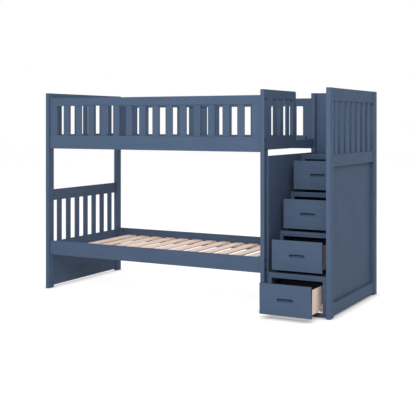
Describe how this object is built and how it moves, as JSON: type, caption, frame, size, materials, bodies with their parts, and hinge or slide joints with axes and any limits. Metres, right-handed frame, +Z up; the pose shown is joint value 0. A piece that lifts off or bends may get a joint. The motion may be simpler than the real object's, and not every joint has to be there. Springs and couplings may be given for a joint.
{
  "type": "bunk bed with stairs",
  "caption": "Painted wooden bunk bed with slatted guards and ends, and a storage staircase at its right end whose steps hold sliding drawers.",
  "frame": {"origin": "on the floor, at the middle of the bounding box with the drawers standing open as in the picture", "axes": "+X along the bed towards the stairs, -Y towards the front, +Z up"},
  "size_m": [2.5, 1.27, 1.632],
  "materials": {
    "blue_paint": "satin blue-grey paint",
    "natural_wood": "bare sanded wood",
    "dark_metal": "dark bronze",
    "plated_steel": "bright plated"
  },
  "bodies": {
    "frame": {"left_front_post": "blue_paint", "left_back_post": "blue_paint", "left_top_rail": "blue_paint", "left_upper_slats": "blue_paint", "left_upper_rail": "blue_paint", "headboard_top_rail": "blue_paint", "headboard_slats": "blue_paint", "headboard_bottom_rail": "blue_paint", "left_lower_panel": "blue_paint", "left_foot_rail": "blue_paint", "inner_front_post": "blue_paint", "inner_back_post": "blue_paint", "entry_guard_top_rail": "blue_paint", "entry_guard_uprights": "blue_paint", "inner_end_rail": "blue_paint", "inner_lower_rail": "blue_paint", "outer_front_post": "blue_paint", "outer_back_post": "blue_paint", "outer_top_rail": "blue_paint", "outer_slats": "blue_paint", "outer_mid_rail": "blue_paint", "outer_foot_rail": "blue_paint", "front_guard_top_rail": "blue_paint", "front_guard_uprights": "blue_paint", "back_guard_top_rail": "blue_paint", "back_guard_uprights": "blue_paint", "upper_front_rail": "blue_paint", "upper_back_rail": "blue_paint", "lower_front_rail": "blue_paint", "lower_back_rail": "blue_paint", "stair_left_side": "blue_paint", "stair_right_side": "blue_paint", "stair_back_panel": "blue_paint", "tread_1": "blue_paint", "tread_2": "blue_paint", "tread_3": "blue_paint", "tread_4": "blue_paint", "step_frame_1": "blue_paint", "step_frame_2": "blue_paint", "step_frame_3": "blue_paint", "step_frame_4": "blue_paint", "upper_front_ledger": "natural_wood", "upper_back_ledger": "natural_wood", "upper_bed_slats": "natural_wood", "lower_front_ledger": "natural_wood", "lower_back_ledger": "natural_wood", "lower_bed_slats": "natural_wood", "left_drawer_runners": "natural_wood", "right_drawer_runners": "natural_wood", "rail_bolts": "dark_metal", "barrel_nuts": "plated_steel", "panel_screws": "dark_metal"},
    "drawer_1": {"drawer_1_front": "blue_paint", "drawer_1_box": "natural_wood"},
    "drawer_2": {"drawer_2_front": "blue_paint", "drawer_2_box": "natural_wood"},
    "drawer_3": {"drawer_3_front": "blue_paint", "drawer_3_box": "natural_wood"},
    "drawer_4": {"drawer_4_front": "blue_paint", "drawer_4_box": "natural_wood"}
  },
  "joints": [
    {"name": "drawer_1_slide", "type": "slide", "parent": "frame", "child": "drawer_1", "axis": [0, -1, 0], "range_m": [-0.218, 0.06]},
    {"name": "drawer_2_slide", "type": "slide", "parent": "frame", "child": "drawer_2", "axis": [0, -1, 0], "range_m": [-0.218, 0.06]},
    {"name": "drawer_3_slide", "type": "slide", "parent": "frame", "child": "drawer_3", "axis": [0, -1, 0], "range_m": [-0.218, 0.06]},
    {"name": "drawer_4_slide", "type": "slide", "parent": "frame", "child": "drawer_4", "axis": [0, -1, 0], "range_m": [-0.235, 0.043]}
  ]
}
